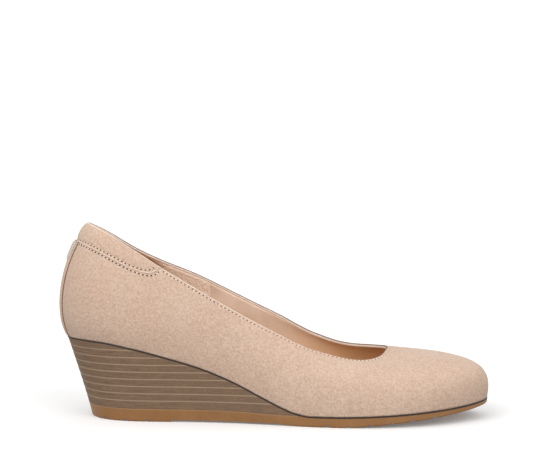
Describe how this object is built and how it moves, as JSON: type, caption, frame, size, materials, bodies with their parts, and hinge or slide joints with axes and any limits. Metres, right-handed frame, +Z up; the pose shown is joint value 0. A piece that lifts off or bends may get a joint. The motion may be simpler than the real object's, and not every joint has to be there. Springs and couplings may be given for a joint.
{
  "type": "wedge pump",
  "caption": "Women's round-toe wedge pump for the right foot: suede upper with collar cuff, stacked wedge heel, rubber outsole.",
  "frame": {"origin": "middle of the shoe's box, on the floor", "axes": "+X towards the toe, +Y towards the inner side of the foot, +Z up"},
  "size_m": [0.245, 0.0822, 0.1112],
  "materials": {
    "suede": "napped, matt microsuede",
    "footbed": "smooth, semi-matt lining leather",
    "stack": "matt stacked layers with fine grain",
    "rubber": "matt moulded rubber"
  },
  "bodies": {
    "root": {"upper": "suede", "collar_cuff": "suede", "back_strip": "suede", "heel_tab": "suede", "insole": "footbed", "wedge": "stack", "outsole": "rubber"}
  },
  "joints": []
}
